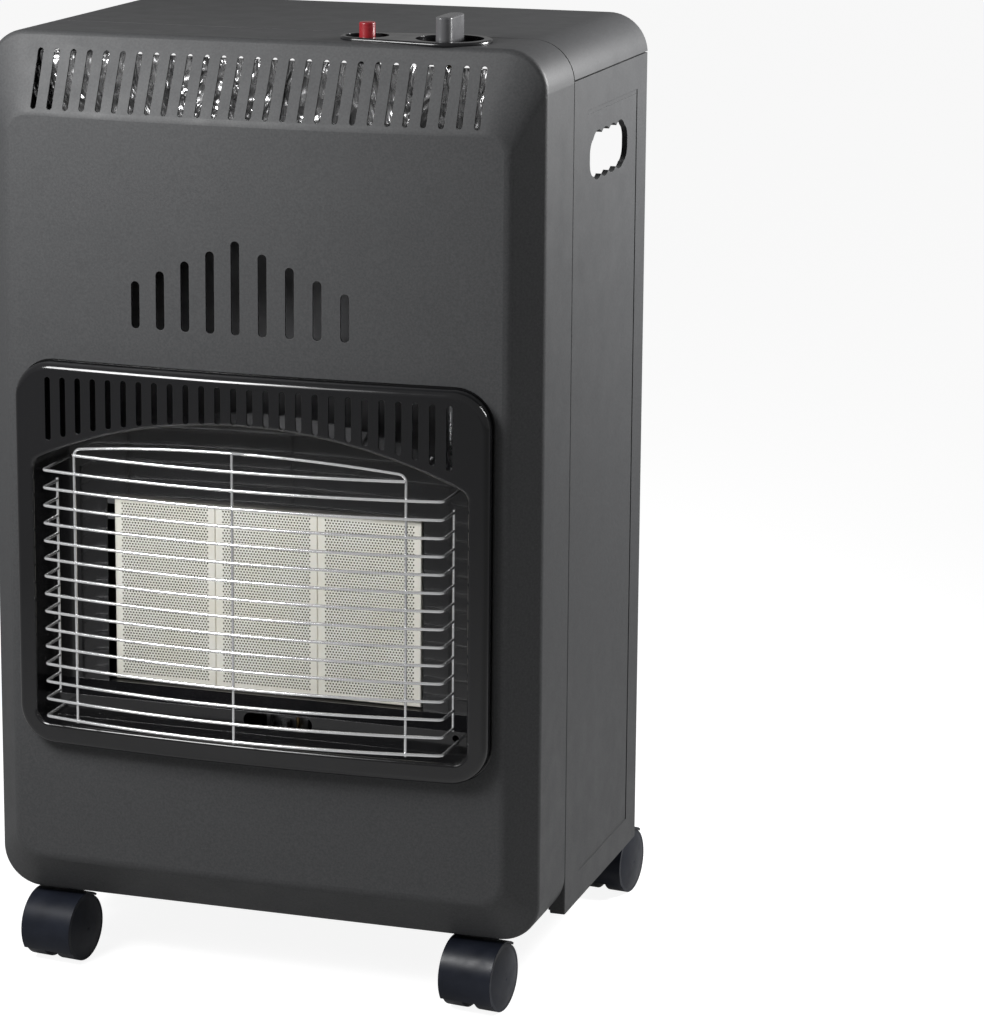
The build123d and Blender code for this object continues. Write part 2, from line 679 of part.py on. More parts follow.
def elbow_end(arch):
    """Where the elbow that goes on from the arched wire's end has turned straight down."""
    heading = arch % 1
    down = Vector(0, 0, -1)
    half_turn = heading.get_angle(down) / 2
    return arch @ 1 + (heading + down) * (ELBOW_R * math.tan(math.radians(half_turn)))


def guard_hoop():
    """The outer uprights and the arched wire over them, bent from one wire, and their X."""
    behind = (WIRE_D + UPRIGHT_D) / 2 - WELD
    y0 = guard_depth(ARCH_HALF) + behind
    y1 = guard_depth(0) + behind
    arch = ThreePointArc((-ARCH_HALF, y0, ARCH_END_Z), (0, y1, ARCH_END_Z + ARCH_RISE),
                         (ARCH_HALF, y0, ARCH_END_Z))
    end = elbow_end(arch)
    right = TangentArc(arch @ 1, end, tangent=arch % 1)
    left = TangentArc((-end.X, end.Y, end.Z), arch @ 0, tangent=(0, 0, 1))
    foot = guard_wire_z()[-1] - UPRIGHT_PAST
    up = Line((-end.X, end.Y, foot), (-end.X, end.Y, end.Z))
    down = Line(end, (end.X, end.Y, foot))
    path = Wire([piece.edge() for piece in (up, left, arch, right, down)])
    start = Plane(origin=path @ 0, z_dir=path % 0)
    return sweep(start * Circle(UPRIGHT_D / 2), path=path), end.X


def guard_grille():
    levels = guard_wire_z()
    behind = (WIRE_D + UPRIGHT_D) / 2 - WELD
    hoop, upright_x = guard_hoop()
    solids = []
    for i, z in enumerate(levels):
        rear = GUARD_STUB_Y
        if i == 0:
            rear = RECESS_FLOOR + SURROUND_T + GUARD_PAST
        if i == len(levels) - 1:
            rear = LEDGE_Y + SURROUND_T + GUARD_PAST
        solids.append(guard_wire(z, rear, upright_x))
    solids += [hoop, short_wire(SHORT_WIRE_Z, upright_x)]
    solids.append(post(0, guard_depth(0) + behind, levels[-1] - UPRIGHT_PAST,
                       ARCH_END_Z + ARCH_RISE, UPRIGHT_D))
    solids += both(post(GUARD_HALF, GUARD_STUB_Y + UPRIGHT_D / 2 - WELD,
                        levels[-2] - UPRIGHT_PAST, levels[1] + UPRIGHT_PAST, UPRIGHT_D))
    return solids[0].fuse(*solids[1:])


def burner_x(k):
    return k * (PLAQUE_W + PLAQUE_GAP)


def plaque(k):
    x = burner_x(k)
    half = PLAQUE_W / 2
    lap = BOX_T + PLAQUE_FIT
    rim = block(x - half, x + half, PLAQUE_Y, PLAQUE_Y + PLAQUE_RIM, PLAQUE_Z0, PLAQUE_Z1)
    core = block(x - half + lap, x + half - lap, PLAQUE_Y, PLAQUE_Y + PLAQUE_T,
                 BOX_Z0 + lap, BOX_Z1 - lap)
    return rim + core


def burner(k):
    """A sheet box that the plaque closes, its mixing tube and the strap that holds the jet."""
    x = burner_x(k)
    half = PLAQUE_W / 2
    box = block(x - half, x + half, BOX_Y0, BOX_REAR, BOX_Z0, BOX_Z1)
    box += post(x, MIX_Y, MIX_Z0, BOX_Z0, MIX_D)
    box -= block(x - half + BOX_T, x + half - BOX_T, BOX_Y0 - BOX_T, BOX_REAR - BOX_T,
                 BOX_Z0 + BOX_T, BOX_Z1 - BOX_T)
    box -= post(x, MIX_Y, MIX_Z0 - BOX_T, BOX_Z0 + 2 * BOX_T, MIX_D - 2 * MIX_T)
    strap = block(x - MIX_D / 2, x + MIX_D / 2, MIX_Y - STRAP_W / 2, MIX_Y + STRAP_W / 2,
                  STRAP_Z, MIX_Z0 + STRAP_W)
    strap -= post(x, MIX_Y, STRAP_Z + STRAP_T, MIX_Z0 + 2 * STRAP_W, MIX_D - 2 * MIX_T)
    strap -= post(x, MIX_Y, STRAP_Z - STRAP_T, MIX_Z0, JET_THREAD_D + THREAD_FIT)
    return box + strap


def burner_rails():
    y0 = RECESS_FLOOR + SURROUND_T
    web = block(-RAIL_HALF, RAIL_HALF, y0, RECESS_FLOOR + RAIL_TOP_REACH, BOX_Z1, BOX_Z1 + RAIL_T)
    lip = block(-RAIL_HALF, RAIL_HALF, y0, y0 + RAIL_T, BOX_Z1 + RAIL_T, BOX_Z1 + RAIL_T + RAIL_H)
    z0 = BOX_Z0 - RAIL_T
    lower = block(-RAIL_HALF, RAIL_HALF, y0 + RAIL_T, RECESS_FLOOR + RAIL_WEB_REACH, z0, BOX_Z0)
    for tab in both(block(BURNERS_HALF + RAIL_TAB_GAP, RAIL_HALF, y0, y0 + RAIL_T,
                          z0, BOX_Z0 + RAIL_H)):
        lower += tab
    return [web + lip, lower]


def injectors():
    made = []
    for k in (-1, 0, 1):
        x = burner_x(k)
        nut = Pos(x, MIX_Y, STRAP_Z + STRAP_T) * extrude(RegularPolygon(JET_HEX / 2, 6, False),
                                                         amount=JET_Z1 - STRAP_Z - STRAP_T)
        jet = nut + post(x, MIX_Y, JET_Z0, STRAP_Z + 2 * STRAP_T, JET_THREAD_D)
        jet += post(x, MIX_Y, JET_Z1 - STRAP_T, JET_Z1 + JET_TIP_H, JET_TIP_D)
        made.append(jet)
    return made


def supply_tube(i):
    """From the valve's underside down beside the burners and along to its jet."""
    x, run = SUPPLY_X[i], JET_Z0 - SUPPLY_RUN_DROP[i]
    jet = burner_x(1 - i)
    points = [(x, MIX_Y, VALVE_Z0), (x, MIX_Y, run), (jet, MIX_Y, run), (jet, MIX_Y, JET_Z0)]
    return pipe(points, SUPPLY_BEND, SUPPLY_D)


def gas_valve():
    body = block(KNOB_X - VALVE_W / 2, VALVE_SIDE, VALVE_Y0, VALVE_Y1, VALVE_Z0, VALVE_Z1)
    body = fillet(body.edges().filter_by(Axis.Z), VALVE_SOFT)
    bore = post(KNOB_X, CONTROL_Y, BORE_Z0, VALVE_Z1 + 1, PLUNGER_D + 2 * SLIDE_FIT)
    return body - bore


def valve_bracket():
    """A step of sheet from the heat shield forward to the valve's back."""
    z = VALVE_Z0 - BRACKET_DROP
    points = [(CASING_DEPTH - RAIL_T, z - 2 * FLANGE), (CASING_DEPTH - RAIL_T, z),
              (VALVE_Y1, z), (VALVE_Y1, VALVE_Z1 - FLANGE)]
    half = VALVE_W / 2 - BRACKET_IN
    return strip(points, -RAIL_T, KNOB_X - half, KNOB_X + half)


def valve_plunger():
    sleeve = post(KNOB_X, CONTROL_Y, PLUNGER_Z0, PLUNGER_Z1, PLUNGER_D)
    return sleeve - post(KNOB_X, CONTROL_Y, 0, TALL, STEM_D + 2 * RUN_FIT)


def valve_stem():
    stem = post(KNOB_X, CONTROL_Y, PLUNGER_Z0, STEM_TOP, STEM_D)
    collar = post(KNOB_X, CONTROL_Y, PLUNGER_Z1 + RUN_FIT, PLUNGER_Z1 + COLLAR_H, COLLAR_D)
    return stem + collar


def control_panel():
    """The oblong bezel with its two dishes."""
    outline = make_hull([*(Pos(KNOB_X, CONTROL_Y) * Circle(BEZEL_R1)).edges(),
                         *(Pos(BUTTON_X, CONTROL_Y) * Circle(BEZEL_R2)).edges()])
    plate = Pos(0, 0, TOP) * extrude(outline, amount=BEZEL_H)
    plate = fillet(plate.edges().group_by(Axis.Z)[-1], BEZEL_SOFT)
    dishes = ((KNOB_X, DISH_R1, DISH_Z1, STEM_HOLE_D),
              (BUTTON_X, DISH_R2, DISH_Z2, BUTTON_D + 2 * DISH_FIT))
    for x, radius, floor, hole in dishes:
        plate += post(x, CONTROL_Y, floor - DISH_T, TOP, 2 * (radius + DISH_T))
    for x, radius, floor, hole in dishes:
        plate -= post(x, CONTROL_Y, floor, TOP + 2 * BEZEL_H, 2 * radius)
        plate -= post(x, CONTROL_Y, floor - 2 * DISH_T, floor + DISH_T, hole)
    return plate


def control_knob():
    """A round skirt with an upright grip across it."""
    skirt = post(KNOB_X, CONTROL_Y, KNOB_Z0, KNOB_RIM_Z, 2 * KNOB_R)
    skirt = chamfer(skirt.edges().group_by(Axis.Z)[-1], KNOB_CHAMFER)
    foot = KNOB_RIM_Z - GRIP_SINK
    grip = Pos(KNOB_X, CONTROL_Y, foot) * extrude(
        Rot(0, 0, 90) * SlotOverall(GRIP_L, GRIP_W), amount=KNOB_TOP - foot)
    grip = fillet(grip.edges().group_by(Axis.Z)[-1], GRIP_SOFT)
    bore = post(KNOB_X, CONTROL_Y, PLUNGER_Z1, STEM_TOP + RUN_FIT, STEM_D + 2 * RUN_FIT)
    return skirt + grip - bore


def igniter_button():
    button = post(BUTTON_X, CONTROL_Y, BUTTON_Z0, BUTTON_TOP, BUTTON_D)
    return fillet(button.edges().group_by(Axis.Z)[-1], BUTTON_SOFT)


def igniter_body():
    body = post(BUTTON_X, CONTROL_Y, IGNITER_Z0, DISH_Z2 - DISH_T, IGNITER_D)
    return body - post(BUTTON_X, CONTROL_Y, IGNITER_BORE_Z0, TOP, BUTTON_D + 2 * SLIDE_FIT)


def gas_inlet():
    """The pipe from the valve's side, down and back to the hose tail behind the heat shield."""
    tail_y = TAIL_Y1 - TAIL_LENGTH
    nut_y = tail_y - TAIL_NUT_H
    z = VALVE_Z0 + INLET_UP
    points = [(VALVE_SIDE, INLET_Y, z), (INLET_X, INLET_Y, z), (INLET_X, INLET_Y, TAIL_Z),
              (INLET_X, nut_y, TAIL_Z)]
    inlet = pipe(points, INLET_BEND, INLET_D)
    hexagon = Plane(origin=(INLET_X, nut_y, TAIL_Z), z_dir=(0, 1, 0)) * RegularPolygon(
        TAIL_NUT_HEX / 2, 6, False)
    inlet += extrude(hexagon, amount=TAIL_NUT_H)
    return inlet + rod(INLET_X, tail_y, TAIL_Y1, TAIL_Z, 2 * TAIL_R)


def pilot_burner():
    """A small hooded burner on a plate behind the window under the plaques."""
    x0, x1 = PILOT_X - PILOT_PLATE_HALF, PILOT_X + PILOT_PLATE_HALF
    rear = PILOT_Y + PILOT_PLATE_DEEP
    z0 = PILOT_Z - PILOT_PLATE_T
    plate = block(x0, x1, PILOT_Y - PILOT_PLATE_DEEP, rear, z0, PILOT_Z)
    plate += block(x0, x1, rear, rear + PILOT_PLATE_T, z0, BOX_Z0 - RAIL_T)
    top = PILOT_Z + PILOT_HEAD_H
    head = post(PILOT_X, PILOT_Y, PILOT_Z, top, PILOT_HEAD_D)
    head -= block(PILOT_X - PILOT_SLOT_W / 2, PILOT_X + PILOT_SLOT_W / 2,
                  PILOT_Y - PILOT_HEAD_D, PILOT_Y,
                  top - 1.5 * PILOT_SLOT_H, top - PILOT_SLOT_H / 2)
    return plate + head - [post(x, PILOT_Y, 0, top, LEAD_D + THREAD_FIT)
                           for x in (PILOT_X - PILOT_SIDE, PILOT_X + PILOT_SIDE)]


def valve_outlet(x, z):
    """The short union on the valve's side from which a small tube turns down."""
    return bar(VALVE_SIDE, x + OUTLET_PAST, MIX_Y, z, OUTLET_D)


def pilot_tube():
    z, run = VALVE_Z0 + PILOT_TUBE_OUT, JET_Z0 - PILOT_RUN_DROP
    points = [(PILOT_TUBE_X, MIX_Y, z), (PILOT_TUBE_X, MIX_Y, run), (PILOT_X, MIX_Y, run),
              (PILOT_X, PILOT_Y, run), (PILOT_X, PILOT_Y, PILOT_Z - PILOT_PLATE_T)]
    return pipe(points, LEAD_BEND, PILOT_TUBE_D) + valve_outlet(PILOT_TUBE_X, z)


def thermocouple():
    x = PILOT_X + PILOT_SIDE
    z, run = VALVE_Z0 + THERMO_OUT, JET_Z0 - THERMO_RUN_DROP
    points = [(THERMO_X, MIX_Y, z), (THERMO_X, MIX_Y, run), (x, MIX_Y, run), (x, PILOT_Y, run),
              (x, PILOT_Y, PILOT_Z + THERMO_TIP)]
    return pipe(points, LEAD_BEND, LEAD_D) + valve_outlet(THERMO_X, z)


def ignition_electrode():
    x = PILOT_X - PILOT_SIDE
    y = BOX_REAR + SPARK_BACK
    run = JET_Z0 - SPARK_RUN_DROP
    points = [(BUTTON_X, CONTROL_Y, IGNITER_Z0), (BUTTON_X, CONTROL_Y, IGNITER_Z0 - SPARK_HIGH),
              (BUTTON_X, y, IGNITER_Z0 - SPARK_LOW), (BUTTON_X, y, run), (x, y, run),
              (x, PILOT_Y, run), (x, PILOT_Y, PILOT_Z + SPARK_TIP)]
    return pipe(points, SPARK_BEND, LEAD_D)


def heat_shield():
    edge = SHIELD_EDGE
    outline = upright(WIDTH - 2 * edge, UNDERSIDE + edge, TOP - edge, CORNER_R - edge)
    plate = slab(outline, CASING_DEPTH, SHIELD_REAR)
    cuts = [block(-WIDTH, WIDTH, 0, CABINET_REAR, SHIELD_TOP, TALL)]
    hose = Pos(INLET_X, TAIL_Z) * RectangleRounded(HOSE_HOLE_W, HOSE_HOLE_H, FLANGE / 2)
    cuts.append(slab(hose, 0, CABINET_REAR))
    for z in SHIELD_SLOT_Z:
        cuts += row(SHIELD_SLOTS, SHIELD_SLOT_PITCH,
                    lambda x: slab(Pos(x, z) * SlotOverall(SHIELD_SLOT_W, SHIELD_SLOT_H),
                                   0, CABINET_REAR))
    for x in rivet_x():
        cuts += [rod(x, 0, CABINET_REAR, z, RIVET_D + THREAD_FIT) for z in RIVET_Z]
    return plate - cuts


def rivet_x():
    x = WIDTH / 2 - SHIELD_EDGE - RIVET_HEAD_D / 2
    return (-x, x)


def shield_rivets():
    made = []
    for x in rivet_x():
        for z in RIVET_Z:
            shank = rod(x, CASING_DEPTH - 2 * SHEET, SHIELD_REAR, z, RIVET_D)
            made.append(shank + rod(x, SHIELD_REAR, SHIELD_REAR + RIVET_HEAD_H, z, RIVET_HEAD_D))
    return made


def passage(x0, x1, y, d):
    """A hole in the deflector's slope for pipes that come down through it."""
    room = d / 2 + DEFLECTOR_CLEAR
    return block(x0 - room, x1 + room, y - room, y + room, DEFLECTOR_FOOT_Z, VALVE_Z0)


def heat_deflector():
    """A bent aluminium sheet that turns the hot air out through the top slots."""
    y = CASING_DEPTH
    points = [(y, DEFLECTOR_FOOT_Z - DEFLECTOR_TAB), (y, DEFLECTOR_FOOT_Z),
              (DEFLECTOR_KNEE_Y, DEFLECTOR_KNEE_Z), (DEFLECTOR_TOP_Y, DEFLECTOR_TOP_Z)]
    sheet = strip(points, DEFLECTOR_T, -DEFLECTOR_HALF, DEFLECTOR_HALF)
    return sheet - [passage(SUPPLY_X[0], THERMO_X, MIX_Y, SUPPLY_D),
                    passage(BUTTON_X, BUTTON_X, CONTROL_Y, LEAD_D),
                    passage(INLET_X, INLET_X, INLET_Y, INLET_D)]


def foot_plate():
    """The fixed plate under the casing that holds the front castors and the base's hinge."""
    plate = block(-BASE_HALF, BASE_HALF, PLATE_Y0, PLATE_REAR, UNDERSIDE - PLATE_T, UNDERSIDE)
    plate = fillet(plate.edges().filter_by(Axis.Z), CORNER_R / 3)
    for side in (-1, 1):
        x0, x1 = sorted((side * BASE_PIN_X, side * (BASE_PIN_X + BASE_EAR_T)))
        leg = block(x0, x1, PLATE_REAR - 2 * FLANGE, PLATE_REAR, BASE_EAR_Z0, UNDERSIDE - PLATE_T)
        reach = block(x0, x1, PLATE_REAR - FLANGE, BASE_PIN_Y, BASE_EAR_Z0, BASE_Z - 1)
        plate += leg + reach + bar(x0, x1, BASE_PIN_Y, BASE_PIN_Z - 0.5, BASE_PIN_D * 2)
        plate -= bar(x0 - 1, x1 + 1, BASE_PIN_Y, BASE_PIN_Z, BASE_PIN_D)
    for x, y in castor_stems():
        plate -= post(x, y, 0, UNDERSIDE + 1, SOCKET_D + THREAD_FIT)
    return plate


def base_pins():
    made = []
    for side in (-1, 1):
        x0, x1 = sorted((side * (BASE_PIN_X - BASE_EAR_T), side * (BASE_PIN_X + BASE_PIN_L / 2)))
        made.append(bar(x0, x1, BASE_PIN_Y, BASE_PIN_Z, BASE_PIN_D))
    return made


def base_plate():
    """The bottle floor, hinged behind the casing, with turned-down lips and hinge ears."""
    outline = Pos(0, (BASE_Y0 + BASE_REAR) / 2) * Rectangle(2 * BASE_HALF, BASE_REAR - BASE_Y0)
    outline = fillet(outline.vertices().group_by(Axis.Y)[-1], BASE_CORNER)
    plate = Pos(0, 0, BASE_Z) * extrude(outline, amount=BASE_T)
    for x in BASE_RIB_X:
        rib = Pos(x, (BASE_LIP_Y0 + BASE_LIP_Y1) / 2) * SlotOverall(
            BASE_LIP_Y1 - BASE_LIP_Y0, BASE_RIB_W, rotation=90)
        plate += Pos(0, 0, BASE_Z - BASE_RIB_H) * extrude(rib, amount=BASE_T)
        plate -= Pos(0, 0, BASE_Z + BASE_T - BASE_RIB_H) * extrude(
            offset(rib, -BASE_T / 2), amount=BASE_T)
    for side in (-1, 1):
        edge = side * BASE_HALF
        x0, x1 = sorted((edge, edge - side * BASE_T))
        plate += block(x0, x1, BASE_LIP_Y0, BASE_LIP_Y1, BASE_Z - BASE_LIP, BASE_Z)
        inner = side * (BASE_PIN_X + BASE_EAR_T + BASE_EAR_GAP)
        x0, x1 = sorted((inner, inner + side * BASE_EAR_T))
        plate += block(x0, x1, BASE_PIN_Y - BASE_EAR_Y0, BASE_PIN_Y + BASE_EAR_Y1,
                       BASE_EAR_Z0 + BASE_T, BASE_Z)
        plate -= bar(x0 - 1, x1 + 1, BASE_PIN_Y, BASE_PIN_Z, BASE_PIN_D + 2 * RUN_FIT)
        x0, x1 = sorted((side * (BASE_PIN_X - BASE_EAR_GAP), inner))
        plate -= block(x0, x1, BASE_Y0 - 1, BASE_PIN_Y + 2 * BASE_PIN_D, BASE_Z - 1, BASE_Z + 3)
        plate -= post(side * REAR_STEM_X, REAR_STEM_Y, 0, TOP, SOCKET_D + THREAD_FIT)
    return plate


def hand_hole(grow):
    """The hand hole seen from the side: a rounded slot with finger scallops along its top."""
    middle = HAND_Y0 + HAND_L / 2
    shape = Pos(middle, HAND_Z0 + HAND_H / 2) * RectangleRounded(
        HAND_L + 2 * grow, HAND_H + 2 * grow, HAND_R)
    for i in range(SCALLOPS):
        y = middle + (i - (SCALLOPS - 1) / 2) * SCALLOP_PITCH
        shape += Pos(y, HAND_Z0 + SCALLOP_UP) * Circle(SCALLOP_R + grow)
    return shape


def bead(x0, x1, width):
    """The pressed line on the side panel, open towards the front."""
    half = width / 2
    return (block(x0, x1, BEAD_Y0, BEAD_Y1 + half, BEAD_Z1 - half, BEAD_Z1 + half)
            + block(x0, x1, BEAD_Y1 - half, BEAD_Y1 + half, BEAD_Z0 - half, BEAD_Z1 + half)
            + block(x0, x1, BEAD_Y0, BEAD_Y1 + half, BEAD_Z0 - half, BEAD_Z0 + half))


def side_panel():
    """The right-hand side: a skin with all four edges turned in."""
    outer = WIDTH / 2
    panel = block(SIDE_INNER, outer, CABINET_FRONT, CABINET_REAR, SIDE_FOOT, SIDE_TOP)
    panel = fillet(panel.edges().filter_by(Axis.Z).group_by(Axis.X)[-1], SIDE_SOFT)
    panel -= block(0, outer - SHEET, CABINET_FRONT + SHEET, CABINET_REAR - SHEET,
                   SIDE_FOOT + SHEET, SIDE_TOP - SHEET)
    panel -= block(0, SIDE_INNER + SIDE_SOFT, 0, CABINET_FRONT + 2 * SHEET, 0, TOP)
    panel -= block(0, outer - REAR_RETURN, CABINET_REAR - 2 * SHEET, CABINET_REAR + 1,
                   SIDE_FOOT + SHEET, SIDE_TOP - SHEET)
    across_side = Plane(origin=(outer - SHEET, 0, 0), x_dir=(0, 1, 0), z_dir=(1, 0, 0))
    panel += extrude(across_side * hand_hole(SHEET), amount=-HAND_RIM)
    panel += bead(outer - SHEET - BEAD_H, outer - SHEET / 2, BEAD_W + 2 * BEAD_H)
    panel -= bead(outer - BEAD_H, outer + 1, BEAD_W)
    panel -= extrude(across_side * hand_hole(0), amount=3 * HAND_RIM, both=True)
    return panel


def side_hinge():
    """Two leaves with knuckles on the right-hand panel's front edge."""
    made = []
    y0 = CABINET_FRONT + SHEET
    for z in HINGE_ZS:
        leaf = block(HINGE_X, HINGE_X + LEAF_W, y0, y0 + LEAF_T, z - HINGE_HALF, z + HINGE_HALF)
        leaf += post(HINGE_X, HINGE_Y, z - HINGE_HALF, z + HINGE_HALF, KNUCKLE_D)
        leaf -= post(HINGE_X, HINGE_Y, 0, TOP, HINGE_D + 2 * RUN_FIT)
        gap = ARM_T / 2 + ARM_GAP
        leaf -= block(HINGE_X - KNUCKLE_D, HINGE_X + LEAF_NOTCH, 0, CABINET_REAR,
                      z - gap, z + gap)
        made.append(leaf)
    return made


def side_brackets():
    """Four fixed arms on the heat shield that hold the side panels' pins."""
    made = []
    x1 = HINGE_X - ARM_IN
    x0 = x1 - ARM_W
    for z in HINGE_ZS:
        pad = [*(Pos(HINGE_X, HINGE_Y) * Circle(KNUCKLE_D / 2)).edges(),
               *(Pos((x0 + x1) / 2, SHIELD_REAR + FOOT_T / 2) * Rectangle(ARM_W, FOOT_T)).edges()]
        arm = Pos(0, 0, z - ARM_T / 2) * extrude(make_hull(pad), amount=ARM_T)
        foot = block(x0, x1, SHIELD_REAR, SHIELD_REAR + FOOT_T, z - FOOT_H / 2, z + FOOT_H / 2)
        bracket = arm + foot - post(HINGE_X, HINGE_Y, 0, TOP, HINGE_D)
        made += both(bracket)
    return made


def side_pins():
    made = []
    for z in HINGE_ZS:
        made += both(post(HINGE_X, HINGE_Y, z - HINGE_HALF, z + HINGE_HALF, HINGE_D))
    return made


def roof():
    """The hinged lid of the cabinet: a channel that carries the casing's top on."""
    outer = slab(upright(WIDTH, UNDERSIDE, TOP, CORNER_R), CABINET_FRONT, CABINET_REAR)
    inner = slab(upright(WIDTH - 2 * SHEET, UNDERSIDE, TOP - SHEET, CORNER_R - SHEET),
                 CABINET_FRONT + SHEET, CABINET_REAR - SHEET)
    ends = upright(WIDTH - 2 * FLANGE, UNDERSIDE, TOP - FLANGE, CORNER_R - FLANGE)
    lid = outer - inner - slab(ends, CABINET_FRONT - 1, CABINET_REAR + 1)
    lid -= block(-WIDTH, WIDTH, 0, 2 * CABINET_REAR, 0, SIDE_TOP + ROOF_GAP)
    for side in (-1, 1):
        inner = side * (ROOF_EAR_X + ROOF_LUG_T / 2 + ARM_GAP)
        x0, x1 = sorted((inner, inner + side * ROOF_EAR_T))
        ear = block(x0, x1, CABINET_FRONT + SHEET, ROOF_PIN_Y + ROOF_EAR_L,
                    ROOF_PIN_Z - ROOF_EAR_R, TOP - SHEET)
        lid += ear
        lid -= bar(x0 - 1, x1 + 1, ROOF_PIN_Y, ROOF_PIN_Z, ROOF_PIN_D + 2 * RUN_FIT)
        lid -= block(side * ROOF_EAR_X - ROOF_NOTCH / 2, side * ROOF_EAR_X + ROOF_NOTCH / 2,
                     CABINET_FRONT - 1, CABINET_FRONT + SHEET, 0, TOP - SHEET)
    return lid


def roof_brackets():
    """Two fixed lugs on the casing's rear flange, reaching up to the lid's pins from below."""
    made = []
    x0 = ROOF_EAR_X - ROOF_LUG_T / 2
    x1 = ROOF_EAR_X + ROOF_LUG_T / 2
    y0 = CASING_DEPTH
    y1 = y0 + LEAF_T
    plate = block(ROOF_EAR_X - ROOF_PLATE_W, x1, y0, y1, ROOF_LUG_Z0, ROOF_PLATE_TOP)
    foot = block(x0, x1, y0, ROOF_PIN_Y + ROOF_LUG_R, ROOF_LUG_Z0, ROOF_LUG_Z0 + ROOF_LUG_FOOT)
    leg = block(x0, x1, ROOF_PIN_Y - ROOF_LUG_R, ROOF_PIN_Y + ROOF_LUG_R, ROOF_LUG_Z0, ROOF_PIN_Z)
    lug = plate + foot + leg + bar(x0, x1, ROOF_PIN_Y, ROOF_PIN_Z, 2 * ROOF_LUG_R)
    lug -= bar(x0 - 1, x1 + 1, ROOF_PIN_Y, ROOF_PIN_Z, ROOF_PIN_D)
    made += both(lug)
    return made


def roof_pins():
    return both(bar(ROOF_EAR_X - ROOF_PIN_IN, ROOF_EAR_X + ROOF_PIN_OUT, ROOF_PIN_Y, ROOF_PIN_Z,
                    ROOF_PIN_D))


def castor_place(x, y):
    """Puts a castor drawn with its stem on the Z axis under its socket."""
    return Pos(x, y, 0) * Rot(0, 0, -CASTOR_TWIST)


def castor_hood():
    """The hood over both wheels, the web between them and the boss for the stem."""
    y = -TRAIL
    z = WHEEL_R
    ring = bar(-HOOD_HALF, HOOD_HALF, y, z, 2 * HOOD_R)
    ring -= bar(-HOOD_HALF - 1, HOOD_HALF + 1, y, z, 2 * (HOOD_R - HOOD_T))
    keep = []
    start = 180 + HOOD_FRONT
    end = 180 - HOOD_REAR
    count = 8
    for i in range(count + 1):
        a = math.radians(start + (end - start) * i / count)
        keep.append((y + 2 * HOOD_R * math.cos(a), z + 2 * HOOD_R * math.sin(a)))
    side = Plane(origin=(-HOOD_HALF, 0, 0), x_dir=(0, 1, 0), z_dir=(1, 0, 0))
    wedge = extrude(side * make_face(Polyline((y, z), *keep, close=True)), amount=2 * HOOD_HALF)
    hood = ring & wedge
    web = bar(-WEB_T / 2, WEB_T / 2, y, z, 2 * (HOOD_R - HOOD_T / 2))
    web &= block(-WEB_T, WEB_T, y - TALL, y + TALL, z - WEB_R / 2, TALL)
    boss = post(0, 0, BOSS_Z0, z + HOOD_R, BOSS_D)
    clear = [bar(-WEB_T / 2 - HOOD_HALF, -WHEEL_GAP + COLLAR_GAP, y, z, 2 * (HOOD_R - HOOD_T)),
             bar(WHEEL_GAP - COLLAR_GAP, WEB_T / 2 + HOOD_HALF, y, z, 2 * (HOOD_R - HOOD_T))]
    body = hood + web + (boss - clear)
    body -= bar(-WEB_T, WEB_T, y, z, AXLE_D)
    return body - post(0, 0, STEM_SHAFT_Z0, TALL, STEM_SHAFT_D)


def castor_pins(top):
    """The axle and the stem with its collar under the plate."""
    reach = WHEEL_GAP + AXLE_IN_WHEEL
    axle = bar(-reach, reach, -TRAIL, WHEEL_R, AXLE_D)
    stem = post(0, 0, STEM_SHAFT_Z0, top + PLATE_T + SOCKET_H - 1, STEM_SHAFT_D)
    stem += post(0, 0, WHEEL_R + HOOD_R, top - COLLAR_GAP, STEM_COLLAR_D)
    return [axle, stem]


def castor_wheel(side):
    """One wheel: a tread chamfered towards the middle and a domed disc outside."""
    x0 = WHEEL_GAP
    x1 = WHEEL_GAP + WHEEL_W
    bore = AXLE_D / 2 + RUN_FIT
    end = x0 + AXLE_IN_WHEEL + COLLAR_GAP
    ring = Polyline((end, 0), (end, bore), (x0, bore), (x0, WHEEL_R - WHEEL_CHAMFER_H),
                    (x0 + WHEEL_CHAMFER_W, WHEEL_R), (x1, WHEEL_R), (x1, DOME_R))
    ball = (DOME_R ** 2 + DOME_H ** 2) / (2 * DOME_H)
    half_way = x1 + DOME_H - ball + math.sqrt(ball ** 2 - (DOME_R / 2) ** 2)
    dome = ThreePointArc((x1, DOME_R), (half_way, DOME_R / 2), (x1 + DOME_H, 0))
    close = Line((x1 + DOME_H, 0), (end, 0))
    wheel = revolve(Plane.XY * make_face([ring, dome, close]), axis=Axis.X)
    if side < 0:
        wheel = mirrored(wheel)
    return Pos(0, -TRAIL, WHEEL_R) * wheel


def socket(x, y, floor, plate):
    """A sleeve for a castor's stem, through the plate and flanged on its top."""
    sleeve = post(x, y, floor, plate + SOCKET_H, SOCKET_D)
    sleeve += post(x, y, plate, plate + SOCKET_FLANGE_H, SOCKET_FLANGE_D)
    return sleeve - post(x, y, 0, TOP, STEM_SHAFT_D + 2 * RUN_FIT)


def castors():
    """Each castor's name, stem place and the underside of the plate over it."""
    front = UNDERSIDE - PLATE_T
    return [("front_left", -FRONT_STEM_X, FRONT_STEM_Y, front),
            ("front_right", FRONT_STEM_X, FRONT_STEM_Y, front),
            ("rear_left", -REAR_STEM_X, REAR_STEM_Y, BASE_Z),
            ("rear_right", REAR_STEM_X, REAR_STEM_Y, BASE_Z)]


